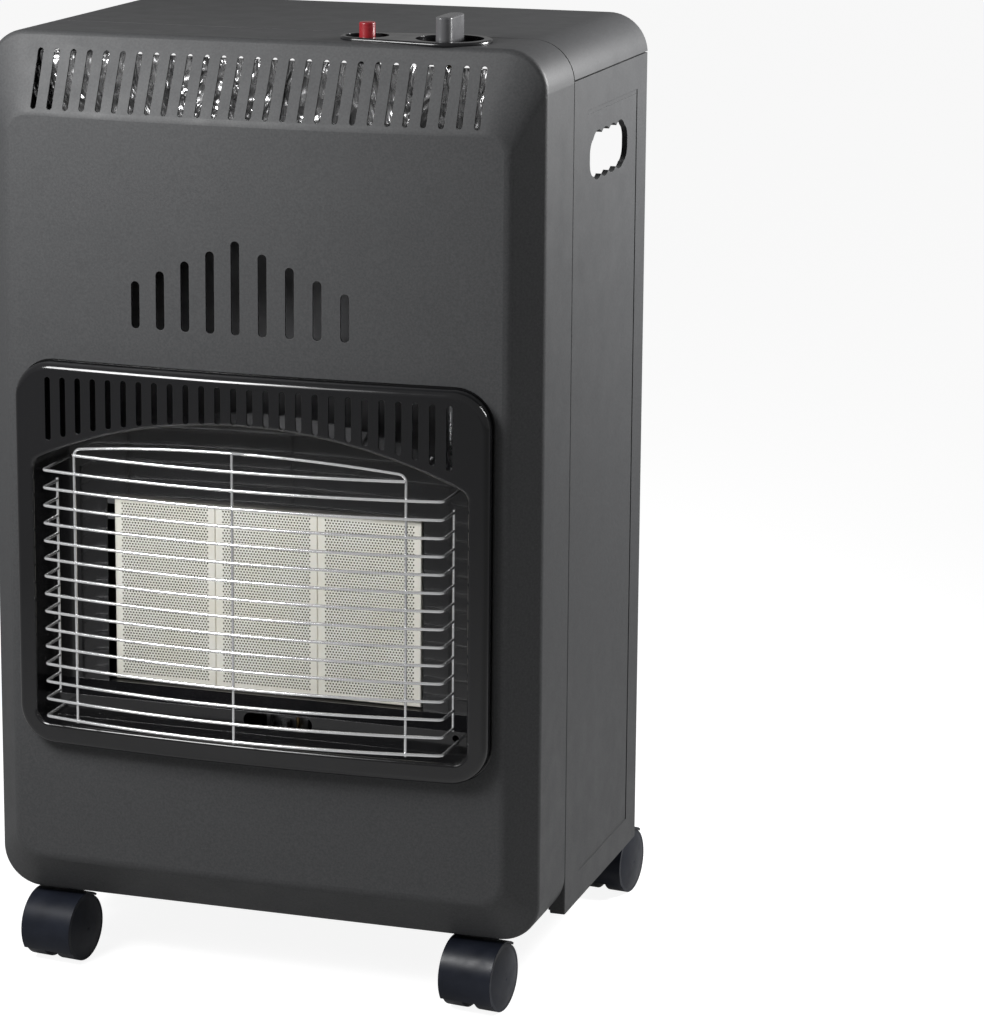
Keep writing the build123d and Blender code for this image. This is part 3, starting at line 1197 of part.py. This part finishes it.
def build():
    right_side = side_panel()
    right_hinge = side_hinge()
    nodes = {
        "front_casing": front_casing(),
        "burner_surround": burner_surround(),
        "guard_grille": guard_grille(),
        "burner_rails": burner_rails(),
        "injectors": injectors(),
        "gas_valve": gas_valve(),
        "valve_bracket": valve_bracket(),
        "valve_plunger": valve_plunger(),
        "valve_stem": valve_stem(),
        "gas_inlet": gas_inlet(),
        "control_panel": control_panel(),
        "control_knob": control_knob(),
        "igniter_button": igniter_button(),
        "igniter_body": igniter_body(),
        "pilot_burner": pilot_burner(),
        "pilot_tube": pilot_tube(),
        "thermocouple": thermocouple(),
        "ignition_electrode": ignition_electrode(),
        "heat_shield": heat_shield(),
        "shield_rivets": shield_rivets(),
        "heat_deflector": heat_deflector(),
        "foot_plate": foot_plate(),
        "base_plate": base_plate(),
        "base_pins": base_pins(),
        "roof": roof(),
        "roof_brackets": roof_brackets(),
        "roof_pins": roof_pins(),
        "side_panel_right": right_side,
        "side_panel_left": mirrored(right_side),
        "side_hinge_right": right_hinge,
        "side_hinge_left": [mirrored(s) for s in right_hinge],
        "side_brackets": side_brackets(),
        "side_pins": side_pins(),
    }
    for k, name in ((-1, "left"), (0, "middle"), (1, "right")):
        nodes["plaque_" + name] = plaque(k)
        nodes["burner_" + name] = burner(k)
        nodes["supply_tube_" + name] = supply_tube(1 - k)
    sockets = {"front": [], "rear": []}
    for name, x, y, floor in castors():
        end = name.split("_")[0]
        plate = UNDERSIDE + SHEET if end == "front" else BASE_Z + BASE_T
        sockets[end].append(socket(x, y, floor, plate))
        place = castor_place(x, y)
        nodes["castor_hood_" + name] = place * castor_hood()
        nodes["castor_pins_" + name] = [place * s for s in castor_pins(floor)]
        nodes["wheel_outer_" + name] = place * castor_wheel(1 if x > 0 else -1)
        nodes["wheel_inner_" + name] = place * castor_wheel(-1 if x > 0 else 1)
    nodes["castor_sockets_front"] = sockets["front"]
    nodes["castor_sockets_rear"] = sockets["rear"]
    return nodes


def origin_shift(shapes):
    """Moves the origin to the floor under the middle of the whole."""
    boxes = [s.bounding_box() for s in shapes]
    low = [min(getattr(b.min, a) for b in boxes) for a in "XYZ"]
    high = [max(getattr(b.max, a) for b in boxes) for a in "XYZ"]
    return (-(low[0] + high[0]) / 2, -(low[1] + high[1]) / 2, -low[2])


def main():
    nodes = build()
    groups = {name: shape if isinstance(shape, list) else [shape]
              for name, shape in nodes.items()}
    shift = origin_shift([s for group in groups.values() for s in group])
    os.makedirs("parts", exist_ok=True)
    for name, group in groups.items():
        placed = [Pos(*shift) * shape for shape in group]
        whole = placed[0] if len(placed) == 1 else Compound(children=placed)
        export_step(whole, f"parts/{name}.step")


if __name__ == "__main__":
    main()
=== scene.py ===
import math
import bpy
from mathutils import Matrix, Vector


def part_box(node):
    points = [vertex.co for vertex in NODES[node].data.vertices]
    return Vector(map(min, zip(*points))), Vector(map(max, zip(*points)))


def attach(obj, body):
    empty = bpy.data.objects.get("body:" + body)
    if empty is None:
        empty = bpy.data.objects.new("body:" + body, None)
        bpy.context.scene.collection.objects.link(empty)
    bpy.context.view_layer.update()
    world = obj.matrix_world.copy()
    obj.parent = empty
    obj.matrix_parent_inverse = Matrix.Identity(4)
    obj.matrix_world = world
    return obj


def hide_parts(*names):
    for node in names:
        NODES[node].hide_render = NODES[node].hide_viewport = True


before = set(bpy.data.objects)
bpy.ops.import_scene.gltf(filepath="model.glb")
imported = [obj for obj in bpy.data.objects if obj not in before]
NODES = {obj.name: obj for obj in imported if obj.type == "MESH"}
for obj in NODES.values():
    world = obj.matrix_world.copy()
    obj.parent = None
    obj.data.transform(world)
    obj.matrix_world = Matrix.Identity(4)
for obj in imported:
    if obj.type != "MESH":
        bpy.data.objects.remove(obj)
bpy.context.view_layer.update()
MM = 0.001
CORNERS = ("front_left", "front_right", "rear_left", "rear_right")
THIRDS = ("left", "middle", "right")

# Heights between which a colour changes, in metres
GRIP_FOOT_Z = (0.700, 0.703)          # black knob to grey grip
DEFLECTOR_PAINTED_SHADE_Z = (0.632, 0.640)    # painted shade on the foot to bright sheet

# Perforated plaques
HOLE_PITCH = 2.3 * MM
HOLE_R = 0.72 * MM
HOLE_DEPTH = 2.4 * MM
HOLE_SIDES = 6
PLAQUE_BORDER = 3.7 * MM
PLAQUE_SOFT = 0.5 * MM
ROW_PITCH = HOLE_PITCH * math.sqrt(3) / 2

# Floor and light
FLOOR_REACH = 8.0
FLOOR_COLOUR = (0.4, 0.4, 0.4)
FLOOR_SEEN = 0.90
FLOOR_MIRRORED = 0.12
WORLD_LIGHT = 0.085
WORLD_MIRRORED = 0.25
LAMPS = (    # name, place, aim, side, power
    ("key", (-0.47, -0.80, 0.98), (-0.05, -0.15, 0.56), 0.42, 10.6),
    ("room", (-1.0, -2.2, 1.9), (0, 0, 0.4), 0.9, 11.5),
    ("side", (0.72, 0.36, 0.82), (0.21, 0.05, 0.5), 0.3, 10.8))

# Camera
CAMERA_PLACE = (0.948558, -2.618418, 0.997215)
CAMERA_YAW = 18.604
CAMERA_PITCH = 12.243
CAMERA_ROLL = -0.192
CAMERA_PIXELS = 3800.0    # focal length, where the longer side of the frame is FRAME_PIXELS
FRAME_PIXELS = 1024.0
CAMERA_SHIFT = (0.08, -0.08)
SENSOR = 36.0

# ---------------------------------------------------------------- materials


class Paint:
    """A material's node tree with short ways to add to it."""

    def __init__(self, name, colour, roughness, metallic=0.0):
        self.made = bpy.data.materials.new(name)
        self.made.use_nodes = True
        self.made.diffuse_color = (*colour, 1)
        self.tree = self.made.node_tree
        self.shader = self.tree.nodes["Principled BSDF"]
        self.set("Base Color", (*colour, 1))
        self.set("Roughness", roughness)
        self.set("Metallic", metallic)
        self.place = self.tree.nodes.new("ShaderNodeTexCoord").outputs["Object"]
        self.normal = None

    def set(self, name, value):
        self.shader.inputs[name].default_value = value

    def node(self, kind, inputs=None, **values):
        made = self.tree.nodes.new(kind)
        for key, value in values.items():
            setattr(made, key, value)
        for key, value in (inputs or {}).items():
            made.inputs[key].default_value = value
        return made

    def link(self, a, b):
        self.tree.links.new(a, b)

    def stretched(self, x, y, z):
        """The place on the object with each axis scaled, for grain and streaks."""
        mapping = self.node("ShaderNodeMapping", {"Scale": (x, y, z)})
        self.link(self.place, mapping.inputs["Vector"])
        return mapping.outputs["Vector"]

    def height(self):
        made = self.node("ShaderNodeSeparateXYZ")
        self.link(self.place, made.inputs[0])
        return made.outputs["Z"]

    def noise(self, scale, detail=3.0, rough=0.5, place=None, distortion=0.0):
        made = self.node("ShaderNodeTexNoise", {"Scale": scale, "Detail": detail,
                                                "Roughness": rough, "Distortion": distortion})
        self.link(place or self.place, made.inputs["Vector"])
        return made.outputs["Fac"]

    def cells(self, scale):
        made = self.node("ShaderNodeTexVoronoi", {"Scale": scale})
        self.link(self.place, made.inputs["Vector"])
        return made.outputs["Distance"]

    def ramp(self, source, low, high, a, b):
        """source carried from a..b to low..high."""
        made = self.node("ShaderNodeMapRange", {"From Min": a, "From Max": b,
                                                "To Min": low, "To Max": high})
        self.link(source, made.inputs["Value"])
        return made.outputs["Result"]

    def colour(self, source, first, second, a=0.3, b=0.7):
        made = self.node("ShaderNodeMix", {"A": (*first, 1), "B": (*second, 1)},
                         data_type="RGBA")
        self.link(self.ramp(source, 0, 1, a, b), made.inputs["Factor"])
        self.link(made.outputs["Result"], self.shader.inputs["Base Color"])

    def roughness(self, source, low, high):
        self.link(self.ramp(source, low, high, 0.3, 0.7), self.shader.inputs["Roughness"])

    def bump(self, source, height_mm, strength):
        made = self.node("ShaderNodeBump", {"Distance": height_mm * MM, "Strength": strength})
        self.link(source, made.inputs["Height"])
        if self.normal:
            self.link(self.normal, made.inputs["Normal"])
        self.bend(made)

    def soft_edges(self, radius_mm):
        self.bend(self.node("ShaderNodeBevel", {"Radius": radius_mm * MM}, samples=4))

    def bend(self, made):
        self.normal = made.outputs["Normal"]
        self.link(self.normal, self.shader.inputs["Normal"])

    def put(self, *nodes):
        for name in nodes:
            mesh = NODES[name].data
            mesh.materials.clear()
            mesh.materials.append(self.made)


def powder_coat(name, first, second, rough):
    paint = Paint(name, first, rough)
    paint.soft_edges(0.5)
    grain = paint.noise(620.0, 3.0, 0.7)
    paint.colour(grain, first, second, 0.35, 0.65)
    paint.roughness(paint.noise(40.0, 4.0, 0.6), rough - 0.04, rough + 0.06)
    paint.bump(grain, 0.12, 0.5)
    paint.set("Specular IOR Level", 0.3)
    return paint


def gloss(name, colour, rough, wave_mm, wave_scale):
    paint = Paint(name, colour, rough)
    paint.soft_edges(0.4)
    paint.roughness(paint.noise(60.0), rough * 0.8, rough * 1.4)
    paint.bump(paint.noise(wave_scale, 2.0), wave_mm, 0.6)
    return paint


def bare_metal(name, first, second, rough, grain=(1, 1, 1), scale=300.0):
    paint = Paint(name, first, rough, 1.0)
    line = paint.noise(scale, 4.0, 0.6, paint.stretched(*grain))
    paint.colour(paint.noise(25.0, 4.0, 0.6), first, second)
    paint.roughness(line, rough * 0.75, rough * 1.35)
    paint.bump(line, 0.01, 0.5)
    return paint


def moulded(name, first, second, rough, edge=0.5):
    paint = Paint(name, first, rough)
    paint.soft_edges(edge)
    paint.colour(paint.noise(50.0, 4.0, 0.6), first, second)
    paint.roughness(paint.noise(90.0, 4.0, 0.6), rough - 0.06, rough + 0.08)
    paint.bump(paint.noise(1400.0, 2.0), 0.03, 0.4)
    return paint


coat = powder_coat("charcoal_powder_coat", (0.052, 0.053, 0.055), (0.069, 0.070, 0.072), 0.5)
coat.put("front_casing", "side_panel_right", "side_panel_left", "roof", "base_plate",
         "foot_plate")

enamel = gloss("black_enamel", (0.008, 0.008, 0.009), 0.13, 0.15, 60.0)
enamel.set("Coat Weight", 0.3)
enamel.put("burner_surround")

chrome = bare_metal("chrome_wire", (0.90, 0.90, 0.91), (0.82, 0.83, 0.84), 0.16)
chrome.set("Metallic", 0.75)
chrome.put("guard_grille")

ceramic = Paint("burner_ceramic", (0.90, 0.87, 0.78), 0.85)
ceramic.colour(ceramic.noise(30.0, 5.0, 0.65), (0.97, 0.955, 0.89), (0.93, 0.90, 0.79))
ceramic.bump(ceramic.noise(700.0, 4.0, 0.7), 0.08, 0.6)
ceramic.put("plaque_left", "plaque_middle", "plaque_right")

# The holes' walls and bottoms are painted dark as the shade deep inside them
hole_shade = Paint("ceramic_holes_painted_shade", (0.20, 0.18, 0.13), 0.9)
hole_shade.colour(hole_shade.noise(300.0, 3.0, 0.6), (0.16, 0.145, 0.10), (0.30, 0.27, 0.20))

steel = bare_metal("plain_steel", (0.56, 0.56, 0.57), (0.42, 0.42, 0.43), 0.32, (1, 1, 12))
steel.put("valve_bracket", "pilot_burner", "shield_rivets", "base_pins", "roof_brackets",
          "roof_pins", "side_brackets", "side_pins", "castor_sockets_front",
          "castor_sockets_rear", "valve_stem", "side_hinge_right", "side_hinge_left",
          *("castor_pins_" + k for k in CORNERS))

shield = bare_metal("galvanised_steel", (0.34, 0.34, 0.35), (0.24, 0.24, 0.25), 0.42,
                    (1, 1, 3), 40.0)
shield.put("heat_shield")

sooty = bare_metal("heated_steel", (0.13, 0.125, 0.12), (0.07, 0.068, 0.065), 0.45, (1, 1, 12))
sooty.put("burner_rails", *("burner_" + k for k in THIRDS))

brass = bare_metal("brass", (0.62, 0.44, 0.20), (0.46, 0.31, 0.13), 0.30)
brass.put("injectors", "gas_valve", "gas_inlet", "thermocouple", "valve_plunger")

tube = bare_metal("tube_aluminium", (0.78, 0.78, 0.80), (0.66, 0.66, 0.68), 0.28)
tube.put("pilot_tube", *("supply_tube_" + k for k in THIRDS))

foil = Paint("crumpled_foil", (0.92, 0.92, 0.93), 0.2, 0.9)
foil.bump(foil.noise(30.0, 3.0, 0.6, foil.stretched(1.0, 1.0, 0.5), 1.5), 10.0, 1.0)
foil.bump(foil.cells(80.0), 2.0, 0.7)
foil.roughness(foil.noise(80.0), 0.15, 0.35)
# The foil's foot, below these heights, is painted dark as shade; the sheet above keeps its
# bright colour
foil.colour(foil.height(), (0.05, 0.05, 0.05), (0.96, 0.96, 0.97), *DEFLECTOR_PAINTED_SHADE_Z)
foil.put("heat_deflector")

bezel = gloss("black_gloss_plastic", (0.010, 0.010, 0.011), 0.16, 0.04, 90.0)
bezel.put("control_panel")

knob = gloss("knob_plastic", (0.012, 0.012, 0.013), 0.24, 0.04, 90.0)
knob.colour(knob.height(), (0.012, 0.012, 0.013), (0.11, 0.11, 0.115), *GRIP_FOOT_Z)
knob.put("control_knob")

red = moulded("red_plastic", (0.23, 0.012, 0.018), (0.30, 0.02, 0.026), 0.25, 0.3)
red.put("igniter_button")

plastic = moulded("black_plastic", (0.011, 0.013, 0.020), (0.017, 0.020, 0.030), 0.36)
plastic.set("Specular IOR Level", 0.22)
plastic.put(*(kind + k for kind in ("castor_hood_", "wheel_outer_", "wheel_inner_")
              for k in CORNERS))

grey = moulded("grey_plastic", (0.20, 0.20, 0.20), (0.25, 0.25, 0.24), 0.5)
grey.put("igniter_body")

lead = moulded("lead_sleeve", (0.015, 0.015, 0.015), (0.03, 0.03, 0.03), 0.5)
lead.put("ignition_electrode")

# ---------------------------------------------------------------- perforated plaques


class Mesh:
    """Points and faces that share their corners."""

    def __init__(self):
        self.points, self.faces, self.paints, self.index = [], [], [], {}

    def point(self, x, y, z):
        key = (round(x, 7), round(y, 7), round(z, 7))
        if key not in self.index:
            self.index[key] = len(self.points)
            self.points.append((x, y, z))
        return self.index[key]

    def face(self, *corners, paint=0):
        self.faces.append(tuple(self.point(*c) for c in corners))
        self.paints.append(paint)

    def loft(self, outer, inner, paint=0):
        for k in range(len(outer)):
            n = (k + 1) % len(outer)
            self.face(outer[k], outer[n], inner[n], inner[k], paint=paint)

    def piece(self, name, paints, body):
        data = bpy.data.meshes.new(name)
        data.from_pydata(self.points, [], self.faces)
        for paint in paints:
            data.materials.append(paint.made)
        data.polygons.foreach_set("material_index", self.paints)
        data.update()
        made = bpy.data.objects.new(name, data)
        bpy.context.collection.objects.link(made)
        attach(made, body)
        return made


def hole_cell(mesh, x, y, z):
    """A small rectangle of the plaque's face with a blind six-sided hole in it."""
    half, high = HOLE_PITCH / 2, ROW_PITCH / 2
    outer = [(x + a * half, y, z + b * high)
             for a, b in ((-1, -1), (0, -1), (1, -1), (1, 1), (0, 1), (-1, 1))]
    turn = [math.radians(360 / HOLE_SIDES * k - 150) for k in range(HOLE_SIDES)]
    inner = [(x + HOLE_R * math.cos(a), y, z + HOLE_R * math.sin(a)) for a in turn]
    deep = [(px, y + HOLE_DEPTH, pz) for px, _, pz in inner]
    mesh.loft(outer, inner)
    # The hole's walls and bottom take the second material, painted dark as shade
    mesh.loft(inner, deep, paint=1)
    mesh.face(*deep, paint=1)


def hole_rows(mesh, cx, y, cz, columns, rows):
    """Staggered rows of holes, with a plain half cell at both ends of every other row."""
    half = columns * HOLE_PITCH / 2
    for j in range(rows):
        z = cz + (j + 0.5) * ROW_PITCH - rows * ROW_PITCH / 2
        low, high = z - ROW_PITCH / 2, z + ROW_PITCH / 2
        odd = j % 2
        for i in range(columns - odd):
            hole_cell(mesh, cx - half + (i + 0.5 + 0.5 * odd) * HOLE_PITCH, y, z)
        for side in (-1, 1) if odd else ():
            a, b = sorted((cx + side * half, cx + side * (half - HOLE_PITCH / 2)))
            mesh.face((a, y, low), (b, y, low), (b, y, high), (a, y, high))


def plaque_piece(k):
    """A plaque with holes inside a plain border and softened front edges."""
    node = "plaque_" + k
    (x0, y, z0), (x1, rear, z1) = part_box(node)
    wide, tall = (x1 - x0) / 2, (z1 - z0) / 2
    cx, cz = (x0 + x1) / 2, (z0 + z1) / 2
    columns = int(2 * (wide - PLAQUE_BORDER) / HOLE_PITCH)
    rows = int(2 * (tall - PLAQUE_BORDER) / ROW_PITCH)

    def ring(dx, dz, depth):
        return [(cx - dx, depth, cz - dz), (cx + dx, depth, cz - dz),
                (cx + dx, depth, cz + dz), (cx - dx, depth, cz + dz)]

    mesh = Mesh()
    hole_rows(mesh, cx, y, cz, columns, rows)
    field = ring(columns * HOLE_PITCH / 2, rows * ROW_PITCH / 2, y)
    face = ring(wide - PLAQUE_SOFT, tall - PLAQUE_SOFT, y)
    front = ring(wide, tall, y + PLAQUE_SOFT)
    back = ring(wide, tall, rear)
    mesh.loft(face, field)
    mesh.loft(front, face)
    mesh.loft(back, front)
    mesh.face(*reversed(back))
    # The face takes the ceramic; the holes take the material painted dark as shade
    piece = mesh.piece(node + "_face", (ceramic, hole_shade), "heater")
    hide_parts(node)


for third in THIRDS:
    plaque_piece(third)

# ---------------------------------------------------------------- floor, light and camera


def ray_level(tree, other, mirrored):
    """The light path node, and a strength for mirrored and passed rays against others."""
    path = tree.nodes.new("ShaderNodeLightPath")
    more = tree.nodes.new("ShaderNodeMath")
    more.operation = "MAXIMUM"
    tree.links.new(path.outputs["Is Glossy Ray"], more.inputs[0])
    tree.links.new(path.outputs["Is Transmission Ray"], more.inputs[1])
    level = tree.nodes.new("ShaderNodeMapRange")
    level.inputs["To Min"].default_value = other
    level.inputs["To Max"].default_value = mirrored
    tree.links.new(more.outputs[0], level.inputs["Value"])
    return path, level.outputs["Result"]


def pale_floor():
    """A floor that takes the shadow and looks white to the camera."""
    made = bpy.data.materials.new("pale_floor")
    made.use_nodes = True
    tree = made.node_tree
    out = tree.nodes["Material Output"]
    shader = tree.nodes["Principled BSDF"]
    shader.inputs["Base Color"].default_value = (*FLOOR_COLOUR, 1)
    shader.inputs["Roughness"].default_value = 0.9
    shader.inputs["Specular IOR Level"].default_value = 0.0
    path, level = ray_level(tree, 0.0, FLOOR_MIRRORED)
    strength = tree.nodes.new("ShaderNodeMath")
    strength.operation = "MULTIPLY_ADD"
    tree.links.new(path.outputs["Is Camera Ray"], strength.inputs[0])
    strength.inputs[1].default_value = FLOOR_SEEN
    tree.links.new(level, strength.inputs[2])
    light = tree.nodes.new("ShaderNodeEmission")
    tree.links.new(strength.outputs[0], light.inputs["Strength"])
    both = tree.nodes.new("ShaderNodeAddShader")
    tree.links.new(shader.outputs[0], both.inputs[0])
    tree.links.new(light.outputs[0], both.inputs[1])
    tree.links.new(both.outputs[0], out.inputs["Surface"])
    return made


def add_floor():
    mesh = bpy.data.meshes.new("floor")
    corners = ((-1, -1), (1, -1), (1, 1), (-1, 1))
    mesh.from_pydata([(FLOOR_REACH * x, FLOOR_REACH * y, 0) for x, y in corners], [],
                     [(0, 1, 2, 3)])
    mesh.materials.append(pale_floor())
    floor = bpy.data.objects.new("floor", mesh)
    bpy.context.collection.objects.link(floor)


def surroundings():
    """White to the camera, paler in mirrors, and plain light elsewhere."""
    world = bpy.data.worlds.new("surroundings")
    bpy.context.scene.world = world
    world.use_nodes = True
    tree = world.node_tree
    back = tree.nodes["Background"]
    back.inputs["Color"].default_value = (1.0, 1.0, 1.0, 1.0)
    path, level = ray_level(tree, WORLD_LIGHT, WORLD_MIRRORED)
    whole = tree.nodes.new("ShaderNodeMath")
    whole.operation = "MAXIMUM"
    tree.links.new(path.outputs["Is Camera Ray"], whole.inputs[0])
    tree.links.new(level, whole.inputs[1])
    tree.links.new(whole.outputs[0], back.inputs["Strength"])


def lamp(name, place, aim, side, power):
    data = bpy.data.lights.new(name, "AREA")
    data.shape = "RECTANGLE"
    data.size, data.size_y, data.energy = side, side, power
    made = bpy.data.objects.new(name, data)
    made.location = place
    made.rotation_euler = (Vector(aim) - Vector(place)).to_track_quat("-Z", "Y").to_euler()
    bpy.context.collection.objects.link(made)


def add_camera():
    data = bpy.data.cameras.new("camera")
    data.sensor_width = SENSOR
    data.lens = CAMERA_PIXELS / FRAME_PIXELS * SENSOR
    data.shift_x, data.shift_y = CAMERA_SHIFT
    camera = bpy.data.objects.new("camera", data)
    yaw, pitch, roll = (math.radians(a) for a in (CAMERA_YAW, CAMERA_PITCH, CAMERA_ROLL))
    forward = Vector((-math.sin(yaw) * math.cos(pitch), math.cos(yaw) * math.cos(pitch),
                      -math.sin(pitch)))
    level = Vector((math.cos(yaw), math.sin(yaw), 0))
    down = forward.cross(level)
    right = math.cos(roll) * level + math.sin(roll) * down
    down = math.cos(roll) * down - math.sin(roll) * level
    turned = Matrix((right, -down, -forward)).transposed().to_4x4()
    camera.matrix_world = Matrix.Translation(CAMERA_PLACE) @ turned
    bpy.context.collection.objects.link(camera)
    bpy.context.scene.camera = camera


add_floor()
surroundings()
for row in LAMPS:
    lamp(*row)
add_camera()
bpy.context.scene.view_settings.view_transform = "Standard"
